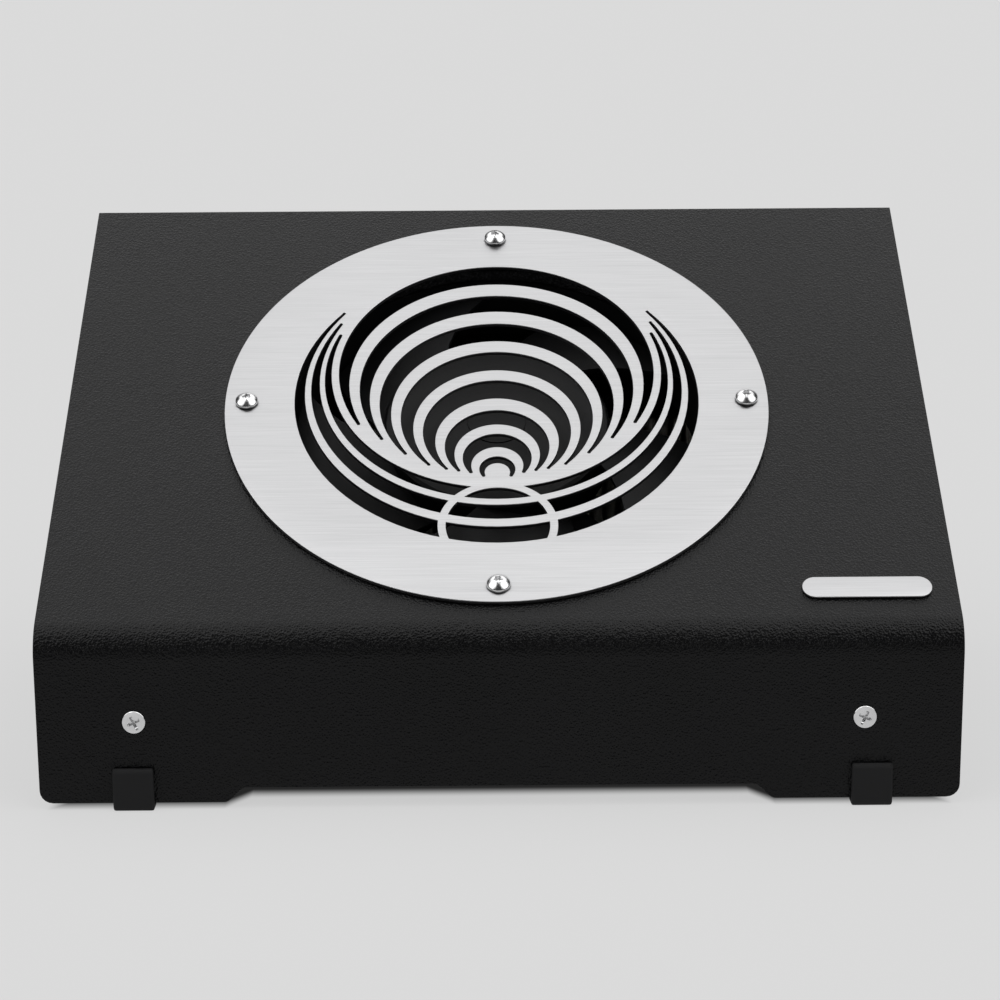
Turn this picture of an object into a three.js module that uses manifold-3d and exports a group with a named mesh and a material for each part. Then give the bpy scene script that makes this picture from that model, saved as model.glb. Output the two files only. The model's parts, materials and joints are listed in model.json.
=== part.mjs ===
// Tabletop solder fume extractor: a wedge-shaped sheet-steel box with a round intake grille over an
// axial fan, a pull-out filter at the back, and rubber clips as feet. Millimetres, +Z up, front at -Y.
import * as THREE from "three";
import { mergeVertices } from "three/addons/utils/BufferGeometryUtils.js";
import Module from "manifold-3d";

const wasm = await Module();
wasm.setup();

// ---------------------------------------------------------------- driving dimensions
const GAP = 0.3;
const SHEET = 1.5;
const WIDTH = 300;
const SLOPE = THREE.MathUtils.degToRad(32);
const SLOPE_LENGTH = 217.3;
const FRONT_HEIGHT = 56;
const FOOT_THICKNESS = 2.2;
const BEND_RADIUS = 14;
const REAR_BEND_RADIUS = 2;
const REAR_LIP = 16;
const CORNER_RADIUS = 4.3;
const NOTCH = { half: 86.3, height: 5, run: 3.7, steps: 10 };

const FRONT_SCREW = { x: 118.5, height: 27.5 };
const FOOT = { left: -119.2, right: 121.1, width: 13.3, height: 14.4, wall: 2.2, slot: 0.3, round: 0.9 };
const BADGE = { x: 120.3, slope: -88.9, length: 42.5, height: 8.9, thickness: 0.8 };

const RING_SIDES = 48;
const GRILLE = { radius: 95, thickness: 1.5, screwRadius: 87.4, fromRear: 109.3 };
// Each slot lies between two circles that share a pair of rounded tips: how far from the plate's
// centre its outer and inner circle cross the centre line, and where its tips are.
const UPPER_SLOTS = [
  { outer: 71.3, inner: 61.5, tipX: 48.0, tipY: -11.5 },
  { outer: 55.1, inner: 46.5, tipX: 39.8, tipY: -19.0 },
  { outer: 39.9, inner: 30.6, tipX: 31.5, tipY: -26.3 },
  { outer: 24.8, inner: 15.3, tipX: 23.4, tipY: -31.7 },
  { outer: 10.0, inner: 0.8, tipX: 17.4, tipY: -33.7 },
  { outer: -5.2, inner: -12.3, tipX: 13.2, tipY: -34.6 },
  { outer: -17.0, inner: -23.5, tipX: 9.0, tipY: -35.5 },
  { outer: -28.1, inner: -31.3, tipX: 4.7, tipY: -37.2 },
];
const LOWER_SLOTS = [
  { outer: 68.6, inner: 61.3, tipX: 54.9, tipY: -45.9 },
  { outer: 57.6, inner: 51.2, tipX: 55.8, tipY: -40.1 },
  { outer: 48.3, inner: 43.1, tipX: 55.8, tipY: -34.1 },
];
const SLOT_TIP_RADIUS = 0.6;
const STRUT_CIRCLE = { y: -60.5, inner: 17.4, outer: 20.2 };

const FAN = {
  radius: 86, flat: 75, bore: 73, wall: 75, flange: 4, depth: 25.4, gasket: 5,
  hubRadius: 40, hubTop: -9.2, hubHeight: 17, hubWall: 2.5, bladeRadius: 71, blades: 5, firstBlade: 70,
  bladeSweep: -23, markRadius: 10.3, screwX: 73.4, screwU: 34.2,
};

const BASE_Z = 16;
const CHASSIS_SHEET = 1.2;
const SKIRT_Z = 7.2;
const CHASSIS_X = 148.2;
const FILTER = { halfWidth: 84, bottom: 24, top: 100, depth: 30, wall: 2, sleeve: 18 };
const INLET = { x: 115, z: 44, screwX: 20 };
const SWITCH = { x: -116, z: 40, tilt: THREE.MathUtils.degToRad(10) };
const KNOB = { x: -116, z: 80, turn: THREE.MathUtils.degToRad(-30) };
const REAR_SCREW = { x: 141, low: 26, high: 158.5 };

// ---------------------------------------------------------------- worked-out positions
const DEPTH = SLOPE_LENGTH * Math.cos(SLOPE);
const RISE = SLOPE_LENGTH * Math.sin(SLOPE);
const FRONT_Y = -DEPTH / 2;
const REAR_Y = DEPTH / 2;
const CORNER_Z = FOOT_THICKNESS + FRONT_HEIGHT;
const TOP_Z = CORNER_Z + RISE;
const GRILLE_CENTRE = new THREE.Vector3(
  0,
  REAR_Y - GRILLE.fromRear * Math.cos(SLOPE),
  TOP_Z - GRILLE.fromRear * Math.sin(SLOPE),
);
const PANEL_OUT = REAR_Y - SHEET - GAP;
const PANEL_IN = PANEL_OUT - SHEET;
const CHASSIS_REAR = PANEL_IN - GAP;
const CHASSIS_FRONT = FRONT_Y + SHEET + GAP;
const FAN_TOP = -SHEET - 2 * GAP - FAN.gasket;
const FAN_BOTTOM = FAN_TOP - FAN.depth;
const FRONT_SCREW_Z = FOOT_THICKNESS + FRONT_SCREW.height;

// ---------------------------------------------------------------- helpers
function v2(x, y) {
  return new THREE.Vector2(x, y);
}

function solid(geometry) {
  const bare = geometry.clone();
  bare.deleteAttribute("normal");
  bare.deleteAttribute("uv");
  const merged = mergeVertices(bare, 1e-5);
  const mesh = new wasm.Mesh({
    numProp: 3,
    vertProperties: new Float32Array(merged.attributes.position.array),
    triVerts: new Uint32Array(merged.index.array),
  });
  return new wasm.Manifold(mesh);
}

function surface(body) {
  const mesh = body.getMesh();
  const geometry = new THREE.BufferGeometry();
  geometry.setAttribute("position", new THREE.Float32BufferAttribute(mesh.vertProperties, 3));
  geometry.setIndex([...mesh.triVerts]);
  return geometry;
}

function join(...geometries) {
  return surface(geometries.map(solid).reduce((all, body) => all.add(body)));
}

function cut(geometry, ...tools) {
  return surface(tools.map(solid).reduce((rest, body) => rest.subtract(body), solid(geometry)));
}

function overlap(first, second) {
  return surface(solid(first).intersect(solid(second)));
}

function box(x, y, z) {
  const geometry = new THREE.BoxGeometry(x[1] - x[0], y[1] - y[0], z[1] - z[0]);
  return geometry.translate((x[0] + x[1]) / 2, (y[0] + y[1]) / 2, (z[0] + z[1]) / 2);
}

// A flat outline in X and Y, made solid from one height to another.
function prism(points, bottom, top, holes = []) {
  const shape = new THREE.Shape(points);
  shape.holes = holes.map((hole) => new THREE.Path(hole));
  const geometry = new THREE.ExtrudeGeometry(shape, { depth: top - bottom, bevelEnabled: false, steps: 1 });
  return geometry.translate(0, 0, bottom);
}

// An outline in Y and Z, made solid along X.
function prismX(points, from, to) {
  return prism(points, from, to).applyMatrix4(
    new THREE.Matrix4().makeBasis(
      new THREE.Vector3(0, 1, 0), new THREE.Vector3(0, 0, 1), new THREE.Vector3(1, 0, 0)),
  );
}

// An outline in X and Z, made solid along Y.
function prismY(points, from, to) {
  return prism(points, -to, -from).rotateX(Math.PI / 2);
}

function arc(cx, cy, radius, from, to, steps) {
  const points = [];
  for (let i = 0; i <= steps; i += 1) {
    const angle = from + ((to - from) * i) / steps;
    points.push(v2(cx + radius * Math.cos(angle), cy + radius * Math.sin(angle)));
  }
  return points;
}

function circle(cx, cy, radius, steps) {
  return arc(cx, cy, radius, 0, 2 * Math.PI, steps).slice(0, steps);
}

function roundedRectangle(cx, cy, width, height, radius, steps = 3) {
  const corners = [[1, 1], [-1, 1], [-1, -1], [1, -1]];
  return corners.flatMap(([sx, sy], i) => arc(
    cx + sx * (width / 2 - radius), cy + sy * (height / 2 - radius), radius,
    (i * Math.PI) / 2, ((i + 1) * Math.PI) / 2, steps));
}

// A turned solid round the Z axis from a closed profile of radius and height.
function turned(profile, segments) {
  return new THREE.LatheGeometry(profile, segments).rotateX(Math.PI / 2);
}

function rod(radius, bottom, top, segments) {
  return prism(circle(0, 0, radius, segments), bottom, top);
}

function cone(bottomRadius, topRadius, bottom, top, segments) {
  return turned([v2(0, bottom), v2(bottomRadius, bottom), v2(topRadius, top), v2(0, top)], segments);
}

function hexagon(acrossFlats) {
  return circle(0, 0, acrossFlats / Math.sqrt(3), 6);
}

// From the grille's own frame (Z outwards from the sloping top, Y up the slope) to the machine's.
function onSlope(geometry) {
  return geometry.rotateX(SLOPE).translate(...GRILLE_CENTRE);
}

// From a frame whose Z points out of a vertical panel to the machine's.
function onFront(geometry, x, z, y = FRONT_Y) {
  return geometry.rotateX(Math.PI / 2).translate(x, y, z);
}

function onRear(geometry, x, z, y = PANEL_OUT) {
  return geometry.rotateX(-Math.PI / 2).translate(x, y, z);
}

// A bent sheet's edge line, pushed inwards from its outer face by the given distance.
function bentPath(corners, radii, inset, steps) {
  const points = [];
  const direction = (i) => corners[i + 1].clone().sub(corners[i]).normalize();
  const inward = (way) => v2(way.y, -way.x);
  points.push(corners[0].clone().addScaledVector(inward(direction(0)), inset));
  for (let i = 1; i < corners.length - 1; i += 1) {
    const before = inward(direction(i - 1));
    const turn = Math.acos(direction(i - 1).dot(direction(i)));
    const tangent = radii[i - 1] * Math.tan(turn / 2);
    const centre = corners[i].clone()
      .addScaledVector(direction(i - 1), -tangent)
      .addScaledVector(before, radii[i - 1]);
    for (let k = 0; k <= steps; k += 1) {
      const normal = before.clone().rotateAround(v2(0, 0), (-turn * k) / steps);
      points.push(centre.clone().addScaledVector(normal, inset - radii[i - 1]));
    }
  }
  const last = corners.length - 1;
  points.push(corners[last].clone().addScaledVector(inward(direction(last - 1)), inset));
  return points;
}

const COVER_CORNERS = [
  v2(FRONT_Y, FOOT_THICKNESS),
  v2(FRONT_Y, CORNER_Z),
  v2(REAR_Y, TOP_Z),
  v2(REAR_Y, TOP_Z - REAR_LIP),
];
const COVER_RADII = [BEND_RADIUS, REAR_BEND_RADIUS];
const BEND_STEPS = 8;

// The bottom edge shared by the front and the back: a shallow notch with S-shaped ends, and
// rounded outer corners.
function bottomEdgeTools(from, to) {
  const ease = (t) => v2(NOTCH.half + NOTCH.run * (1 - 2 * t),
    FOOT_THICKNESS + (NOTCH.height * (1 - Math.cos(Math.PI * t))) / 2);
  const right = Array.from({ length: NOTCH.steps + 1 }, (_, i) => ease(i / NOTCH.steps));
  const left = right.map((point) => v2(-point.x, point.y)).reverse();
  const below = FOOT_THICKNESS - 1;
  const notch = [v2(right[0].x, below), ...right, ...left, v2(-right[0].x, below)];
  const corner = [
    v2(WIDTH, below),
    v2(WIDTH, FOOT_THICKNESS + CORNER_RADIUS),
    ...arc(WIDTH / 2 - CORNER_RADIUS, FOOT_THICKNESS + CORNER_RADIUS, CORNER_RADIUS, 0, -Math.PI / 2, 5),
    v2(WIDTH / 2 - CORNER_RADIUS, below),
  ];
  const mirrored = corner.map((point) => v2(-point.x, point.y));
  return [notch, corner, mirrored].map((outline) => prismY(outline, from, to));
}

// ---------------------------------------------------------------- screws and nuts
const SCREW_SIDES = 12;
const M4 = { radius: 1.95, hole: 2.25, countersunk: 3.78, button: 3.9, buttonHeight: 2.4 };
const M3 = { radius: 1.45, hole: 1.75, countersunk: 2.9 };

function crossRecess(size, bottom) {
  const arm = size * 0.2;
  const top = bottom + 4;
  return join(
    box([-size, size], [-arm, arm], [bottom, top]),
    box([-arm, arm], [-size, size], [bottom, top]),
  );
}

// A countersunk screw whose flat face is at height 0.
function countersunkScrew(size, length, turn) {
  const rim = 0.2;
  const coneHeight = size.countersunk - size.radius;
  const body = turned([
    v2(0, -length),
    v2(size.radius, -length),
    v2(size.radius, -coneHeight - rim),
    v2(size.countersunk, -rim),
    v2(size.countersunk, 0),
    v2(0, 0),
  ], SCREW_SIDES);
  return cut(body, crossRecess(size.countersunk * 0.55, -1.3)).rotateZ(turn);
}

function countersunkHole(size, depth) {
  const head = size.countersunk + 1.5 * GAP;
  return join(
    cone(head - depth - 0.2, head + 0.8, -depth - 0.2, 0.8, SCREW_SIDES),
    rod(size.hole, -depth - 6, 0, SCREW_SIDES),
  );
}

function buttonScrew(length) {
  const head = M4.buttonHeight;
  const dome = [v2(M4.button, 0.7), v2(3.3, 1.6), v2(2.2, 2.2)];
  const body = turned([v2(0, -length), v2(M4.radius, -length), v2(M4.radius, 0), v2(M4.button, 0),
    ...dome, v2(0, head)], SCREW_SIDES);
  return cut(body, prism(hexagon(2.5), head - 1.3, head + 1));
}

function panScrew(length) {
  const body = turned([v2(0, -length), v2(1.6, -length), v2(1.6, 0), v2(3.4, 0), v2(3.4, 1.2),
    v2(2.6, 2.1), v2(0, 2.3)], SCREW_SIDES);
  return cut(body, crossRecess(1.9, 1.1));
}

function nut(acrossFlats, height, hole) {
  return prism(hexagon(acrossFlats), -height, 0, [circle(0, 0, hole, 12)]);
}

// ---------------------------------------------------------------- sheet-steel body
function grillePoints(radius) {
  return [0, 1, 2, 3].map((i) => v2(
    radius * Math.round(Math.cos((i * Math.PI) / 2)),
    radius * Math.round(Math.sin((i * Math.PI) / 2))));
}

function fanScrewPoints() {
  return [[1, 1], [-1, 1], [-1, -1], [1, -1]].map(([sx, su]) => v2(sx * FAN.screwX, su * FAN.screwU));
}

function cover() {
  const outside = bentPath(COVER_CORNERS, COVER_RADII, 0, BEND_STEPS);
  const inside = bentPath(COVER_CORNERS, COVER_RADII, SHEET, BEND_STEPS);
  const bent = prismX([...outside, ...inside.reverse()], -WIDTH / 2, WIDTH / 2);
  const tools = [
    onSlope(rod(FAN.bore, -SHEET - 2, 2, RING_SIDES)),
    ...grillePoints(GRILLE.screwRadius).map((p) => onSlope(rod(M4.hole, -4, 2, 12).translate(p.x, p.y, 0))),
    ...fanScrewPoints().map((p) => onSlope(countersunkHole(M4, SHEET).translate(p.x, p.y, 0))),
    ...[-1, 1].map((side) => onFront(countersunkHole(M4, SHEET), side * FRONT_SCREW.x, FRONT_SCREW_Z)),
    ...[-1, 1].map((side) => onRear(rod(2, -6, 6, 12), side * REAR_SCREW.x, REAR_SCREW.high)),
    ...bottomEdgeTools(FRONT_Y - 5, FRONT_Y + 5),
  ];
  return cut(bent, ...tools);
}

function chassis() {
  const skirt = bentPath(COVER_CORNERS, COVER_RADII, SHEET + GAP, BEND_STEPS);
  skirt[0].y = SKIRT_Z;
  skirt[skirt.length - 1].y = SKIRT_Z;
  const beyond = box([-WIDTH, WIDTH], [CHASSIS_REAR, REAR_Y], [0, TOP_Z]);
  const inner = CHASSIS_X - CHASSIS_SHEET;
  const sides = [prismX(skirt, -CHASSIS_X, -inner), prismX(skirt, inner, CHASSIS_X)]
    .map((wall) => cut(wall, beyond));
  const base = box([-CHASSIS_X, CHASSIS_X], [CHASSIS_FRONT, CHASSIS_REAR], [BASE_Z, BASE_Z + CHASSIS_SHEET]);
  const frontFlange = box([-CHASSIS_X, CHASSIS_X], [CHASSIS_FRONT, CHASSIS_FRONT + CHASSIS_SHEET],
    [BASE_Z, FRONT_SCREW_Z + 9]);
  const flangeY = [CHASSIS_REAR - CHASSIS_SHEET, CHASSIS_REAR];
  const flange = (from, to) => box([from, to], flangeY, [BASE_Z, TOP_Z - 8]);
  const flanges = [flange(134, inner + 0.6), flange(-inner - 0.6, -134)];
  const holes = [
    ...[-1, 1].map((side) => onFront(rod(2.6, -8, 2, 16), side * FRONT_SCREW.x, FRONT_SCREW_Z)),
    ...[-1, 1].flatMap((side) => [REAR_SCREW.low, REAR_SCREW.high]
      .map((z) => onRear(rod(1.95, -8, 2, 12), side * REAR_SCREW.x, z))),
    onRear(rod(M3.hole, -8, 2, 12), INLET.x + INLET.screwX, INLET.z),
  ];
  return cut(join(...sides, base, frontFlange, ...flanges), ...holes);
}

function rearPanel() {
  const panel = box([-CHASSIS_X, CHASSIS_X], [PANEL_IN, PANEL_OUT], [FOOT_THICKNESS, TOP_Z - 6]);
  const middle = (FILTER.bottom + FILTER.top) / 2;
  const height = FILTER.top - FILTER.bottom;
  const width = 2 * FILTER.halfWidth;
  const mouth = (grow, from, to) => box([-width / 2 - grow, width / 2 + grow], [from, to],
    [middle - height / 2 - grow, middle + height / 2 + grow]);
  const sleeve = mouth(CHASSIS_SHEET, PANEL_IN - FILTER.sleeve, PANEL_IN + 0.1);
  const tools = [
    mouth(0, PANEL_IN - 40, PANEL_OUT + 5),
    ...[-1, 1].flatMap((side) => [REAR_SCREW.low, REAR_SCREW.high]
      .map((z) => onRear(rod(2, -6, 2, 12), side * REAR_SCREW.x, z))),
    box([INLET.x - 14.3, INLET.x + 14.3], [PANEL_IN - 5, PANEL_OUT + 5], [INLET.z - 10.6, INLET.z + 10.6]),
    ...[-1, 1].map((side) => onRear(rod(M3.hole, -6, 2, 12), INLET.x + side * INLET.screwX, INLET.z)),
    box([SWITCH.x - 6.7, SWITCH.x + 6.7], [PANEL_IN - 5, PANEL_OUT + 5], [SWITCH.z - 9.8, SWITCH.z + 9.8]),
    onRear(rod(3.8, -6, 2, 16), KNOB.x, KNOB.z),
    ...bottomEdgeTools(PANEL_IN - 5, PANEL_OUT + 5),
  ];
  return cut(join(panel, sleeve), ...tools);
}

// ---------------------------------------------------------------- grille, badge, feet
// The circle centred on the Y axis that crosses it at `top` and passes through (x, y).
function circleOnAxis(top, x, y) {
  const radius = (x * x + (top - y) ** 2) / (2 * (top - y));
  return { radius, y: top - radius };
}

function slotOutline({ outer, inner, tipX, tipY }) {
  const big = circleOnAxis(outer, tipX + SLOT_TIP_RADIUS, tipY);
  const small = circleOnAxis(inner, tipX - SLOT_TIP_RADIUS, tipY);
  const bow = (ring, x) => {
    const start = Math.atan2(tipY - ring.y, x);
    const steps = 2 * Math.round(2 + 1.1 * Math.sqrt(ring.radius));
    return arc(0, ring.y, ring.radius, start, Math.PI - start, steps);
  };
  const along = Math.atan2(tipY - (big.y + small.y) / 2, tipX) - Math.PI / 2;
  const tip = v2(tipX + SLOT_TIP_RADIUS * Math.cos(along), tipY + SLOT_TIP_RADIUS * Math.sin(along));
  return [
    tip,
    ...bow(big, tipX + SLOT_TIP_RADIUS),
    v2(-tip.x, tip.y),
    ...bow(small, tipX - SLOT_TIP_RADIUS).reverse(),
  ];
}

function grillePlate() {
  const bottom = GAP;
  const top = GAP + GRILLE.thickness;
  const through = [bottom - 1, top + 1];
  const plate = rod(GRILLE.radius, bottom, top, 96);
  const upper = UPPER_SLOTS.map((slot) => prism(slotOutline(slot), ...through));
  const lower = LOWER_SLOTS.map((slot) => prism(
    slotOutline(slot).map((point) => v2(point.x, -point.y)), ...through));
  const strut = prism(circle(0, STRUT_CIRCLE.y, STRUT_CIRCLE.outer, 40), bottom - 2, top + 2,
    [circle(0, STRUT_CIRCLE.y, STRUT_CIRCLE.inner, 40)]);
  const holes = grillePoints(GRILLE.screwRadius)
    .map((p) => rod(M4.hole, ...through, 12).translate(p.x, p.y, 0));
  return onSlope(cut(plate, ...upper, ...lower.map((slot) => cut(slot, strut)), ...holes));
}

function grilleScrew(i) {
  const p = grillePoints(GRILLE.screwRadius)[i];
  return onSlope(buttonScrew(8.2).rotateZ(0.4 * i).translate(p.x, p.y, 2 * GAP + GRILLE.thickness));
}

function grilleNut(i) {
  const p = grillePoints(GRILLE.screwRadius)[i];
  return onSlope(nut(7, 3.2, M4.hole).translate(p.x, p.y, -SHEET - GAP));
}

function badge() {
  const corner = BADGE.height / 2 - 0.01;
  const outline = roundedRectangle(BADGE.x, BADGE.slope, BADGE.length, BADGE.height, corner, 8);
  return onSlope(prism(outline, GAP, GAP + BADGE.thickness));
}

// A rubber U pushed up over the bottom edge of a sheet whose outer face is at `face`; `out` is
// the sign of the direction in which that face looks.
function foot(x, face, out) {
  const { wall, slot } = FOOT;
  const bottomWall = FOOT_THICKNESS - GAP;
  const front = face + out * (wall + slot);
  const back = face - out * (SHEET + slot + wall);
  const r = FOOT.round;
  const points = [
    v2(face + out * slot, FOOT.height),
    v2(front - out * r, FOOT.height),
    v2(front, FOOT.height - r),
    v2(front, r),
    v2(front - out * r, 0),
    v2(back + out * r, 0),
    v2(back, r),
    v2(back, FOOT.height - 1),
    v2(face - out * (SHEET + slot), FOOT.height - 1),
    v2(face - out * (SHEET + slot), bottomWall),
    v2(face + out * slot, bottomWall),
  ];
  return prismX(points, x - FOOT.width / 2, x + FOOT.width / 2);
}

function frontScrew(side, turn) {
  return onFront(countersunkScrew(M4, 9, turn), side * FRONT_SCREW.x, FRONT_SCREW_Z, FRONT_Y - 0.05);
}

function frontNut(side) {
  return onFront(nut(7, 3.2, M4.hole), side * FRONT_SCREW.x, FRONT_SCREW_Z,
    CHASSIS_FRONT + CHASSIS_SHEET + GAP);
}

function rearScrew(side, z) {
  const seat = (z === REAR_SCREW.high ? REAR_Y : PANEL_OUT) + GAP;
  return onRear(panScrew(9), side * REAR_SCREW.x, z, seat);
}

// ---------------------------------------------------------------- fan
function fanOutline(radius, flat, bottom, top, bore) {
  const disc = rod(radius, bottom, top, RING_SIDES);
  const slab = box([-2 * radius, 2 * radius], [-flat, flat], [bottom - 1, top + 1]);
  return cut(overlap(disc, slab), rod(bore, bottom - 2, top + 2, RING_SIDES));
}

function fanFrame() {
  const flangeHoles = fanScrewPoints().flatMap((p) => [
    rod(M4.hole, FAN_BOTTOM - 1, FAN_TOP + 1, 12).translate(p.x, p.y, 0),
  ]);
  const tube = fanOutline(FAN.wall + 0.6, FAN.flat, FAN_BOTTOM, FAN_TOP, FAN.bore);
  const upper = fanOutline(FAN.radius, FAN.flat, FAN_TOP - FAN.flange, FAN_TOP, FAN.bore);
  const lower = fanOutline(FAN.radius, FAN.flat, FAN_BOTTOM, FAN_BOTTOM + FAN.flange, FAN.bore);
  const strutTop = FAN_BOTTOM + 3;
  const struts = [0, 1, 2, 3].map((i) => box([30, FAN.bore + 1], [-4, 4], [FAN_BOTTOM, strutTop])
    .rotateZ(Math.PI / 4 + (i * Math.PI) / 2));
  const cup = turned([
    v2(0, FAN_BOTTOM), v2(36, FAN_BOTTOM), v2(36, FAN_BOTTOM + 2.5), v2(7.5, FAN_BOTTOM + 2.5),
    v2(7.5, FAN.hubTop - 5), v2(5.8, FAN.hubTop - 5), v2(5.8, FAN_BOTTOM + 1.5), v2(0, FAN_BOTTOM + 1.5),
  ], 32);
  return onSlope(cut(join(tube, upper, lower, ...struts, cup), ...flangeHoles));
}

function fanMotor() {
  const bottom = FAN_BOTTOM + 3 + GAP;
  const top = FAN.hubTop - 5;
  const slot = box([18, 40], [-1.2, 1.2], [bottom + 2, top + 1]);
  const slots = [0, 1, 2, 3, 4, 5].map((i) => slot.clone().rotateZ((i * Math.PI) / 3));
  const body = turned([v2(7.8, bottom), v2(34, bottom), v2(34, top), v2(7.8, top), v2(7.8, bottom)], 24);
  return onSlope(cut(body, ...slots));
}

// One blade as a closed grid: swept and pitched between the hub and the tip.
function blade(start) {
  const rings = 4;
  const chords = 4;
  const middle = FAN.hubTop - 9.5;
  const halfThickness = 0.9;
  const bulge = 1.6;
  const points = [];
  for (const face of [1, -1]) {
    for (let i = 0; i <= rings; i += 1) {
      const t = i / rings;
      const radius = THREE.MathUtils.lerp(FAN.hubRadius - 1.6, FAN.bladeRadius, t);
      const span = THREE.MathUtils.degToRad(THREE.MathUtils.lerp(48, 54, t));
      const sweep = THREE.MathUtils.degToRad(FAN.bladeSweep * t);
      const lift = THREE.MathUtils.lerp(7, 6.4, t);
      for (let j = 0; j <= chords; j += 1) {
        const s = j / chords;
        const angle = start + (s - 0.5) * span + sweep;
        const height = middle + lift * (1 - 2 * s) + bulge * Math.sin(Math.PI * s) + face * halfThickness;
        points.push(radius * Math.cos(angle), radius * Math.sin(angle), height);
      }
    }
  }
  const at = (face, i, j) => face * (rings + 1) * (chords + 1) + i * (chords + 1) + j;
  const index = [];
  const quad = (a, b, c, d) => index.push(a, b, c, a, c, d);
  for (let i = 0; i < rings; i += 1) {
    for (let j = 0; j < chords; j += 1) {
      quad(at(0, i, j), at(0, i + 1, j), at(0, i + 1, j + 1), at(0, i, j + 1));
      quad(at(1, i, j), at(1, i, j + 1), at(1, i + 1, j + 1), at(1, i + 1, j));
    }
  }
  for (let j = 0; j < chords; j += 1) {
    quad(at(0, 0, j), at(0, 0, j + 1), at(1, 0, j + 1), at(1, 0, j));
    quad(at(0, rings, j + 1), at(0, rings, j), at(1, rings, j), at(1, rings, j + 1));
  }
  for (let i = 0; i < rings; i += 1) {
    quad(at(0, i + 1, 0), at(0, i, 0), at(1, i, 0), at(1, i + 1, 0));
    quad(at(0, i, chords), at(0, i + 1, chords), at(1, i + 1, chords), at(1, i, chords));
  }
  const geometry = new THREE.BufferGeometry();
  geometry.setAttribute("position", new THREE.Float32BufferAttribute(points, 3));
  geometry.setIndex(index);
  return geometry;
}

function fanRotor() {
  const top = FAN.hubTop;
  const inside = FAN.hubRadius - FAN.hubWall;
  const hub = turned([
    v2(0, top - 2), v2(2.3, top - 2), v2(2.3, top - 4.4), v2(5, top - 4.4), v2(5, top - 2),
    v2(inside, top - 2), v2(inside, top - FAN.hubHeight), v2(FAN.hubRadius, top - FAN.hubHeight),
    v2(FAN.hubRadius, top - 1), v2(FAN.hubRadius - 1, top),
    v2(FAN.markRadius + 0.3, top), v2(FAN.markRadius + 0.3, top - 0.4),
    v2(FAN.markRadius - 0.3, top - 0.4), v2(FAN.markRadius - 0.3, top), v2(0, top),
  ], 32);
  const first = THREE.MathUtils.degToRad(FAN.firstBlade);
  const blades = [];
  for (let i = 0; i < FAN.blades; i += 1) {
    blades.push(blade(first + (i * 2 * Math.PI) / FAN.blades));
  }
  return onSlope(join(hub, ...blades));
}

function fanShaft() {
  return onSlope(rod(2, FAN_BOTTOM + 1.5 + GAP, FAN.hubTop - 2 - GAP, 16));
}

function fanBearing(bottom) {
  return onSlope(prism(circle(0, 0, 5.5, 24), bottom, bottom + 4, [circle(0, 0, 2.3, 16)]));
}

function fanGasket() {
  const bottom = -SHEET - GAP - FAN.gasket;
  const top = -SHEET - GAP;
  const ring = fanOutline(84, FAN.flat + 1.5, bottom, top, FAN.bore);
  const clear = grillePoints(GRILLE.screwRadius).filter((p) => p.y === 0)
    .map((p) => rod(5, bottom - 1, top + 1, 16).translate(p.x, 0, 0));
  const holes = fanScrewPoints().map((p) => rod(2.6, bottom - 1, top + 1, 12).translate(p.x, p.y, 0));
  return onSlope(cut(ring, ...clear, ...holes));
}

function fanScrew(i) {
  const p = fanScrewPoints()[i];
  return onSlope(countersunkScrew(M4, 12, 0.5 * i).translate(p.x, p.y, -0.1));
}

// ---------------------------------------------------------------- filter cassette
const CASSETTE = {
  x: FILTER.halfWidth - 0.5,
  bottom: FILTER.bottom + 0.5,
  top: FILTER.top - 0.5,
  front: PANEL_IN - FILTER.depth,
  faceIn: PANEL_OUT + 2,
  faceOut: PANEL_OUT + 4,
};

function filterFrame() {
  const { x, bottom, top, front, faceIn, faceOut } = CASSETTE;
  const wall = FILTER.wall;
  const shell = box([-x, x], [front, faceIn + 0.1], [bottom, top]);
  const hollow = box([-x + wall, x - wall], [front - 1, faceIn], [bottom + wall, top - wall]);
  const middle = (bottom + top) / 2;
  const rim = 5.5;
  const faceOutline = roundedRectangle(0, middle, 2 * (x + rim), top - bottom + 2 * rim, 4);
  const face = prismY(faceOutline, faceIn, faceOut);
  const rowPitch = 9;
  const slots = [];
  for (let row = -3; row <= 3; row += 1) {
    const z = middle + row * rowPitch;
    const sides = row === 0 || Math.abs(row) === 1 ? [[-70, -30], [30, 70]] : [[-70, -4], [4, 70]];
    slots.push(...sides.map(([from, to]) => prismY(
      roundedRectangle((from + to) / 2, z, to - from, 4, 1.9, 2), faceIn - 1, faceOut + 1)));
  }
  return cut(join(cut(shell, hollow), face), ...slots);
}

function pleatedMedia() {
  const { x, bottom, top, front } = CASSETTE;
  const pleats = 22;
  const thickness = 1.6;
  const edge = x - FILTER.wall - GAP - thickness;
  const near = front + 1.5;
  const far = front + 20;
  const fold = [];
  for (let i = 0; i <= 2 * pleats; i += 1) {
    fold.push(v2(-edge + (edge * i) / pleats, i % 2 ? far - 2 : near));
  }
  const rise = v2(0, 2 * thickness);
  const back = fold.map((point) => point.clone().add(rise)).reverse();
  return prism([...fold, ...back], bottom + FILTER.wall + GAP, top - FILTER.wall - GAP);
}

function carbonPad() {
  const { x, bottom, top, front } = CASSETTE;
  const inset = FILTER.wall + GAP;
  return box([-x + inset, x - inset], [front + 22.5, front + 29.5], [bottom + inset, top - inset]);
}

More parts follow.
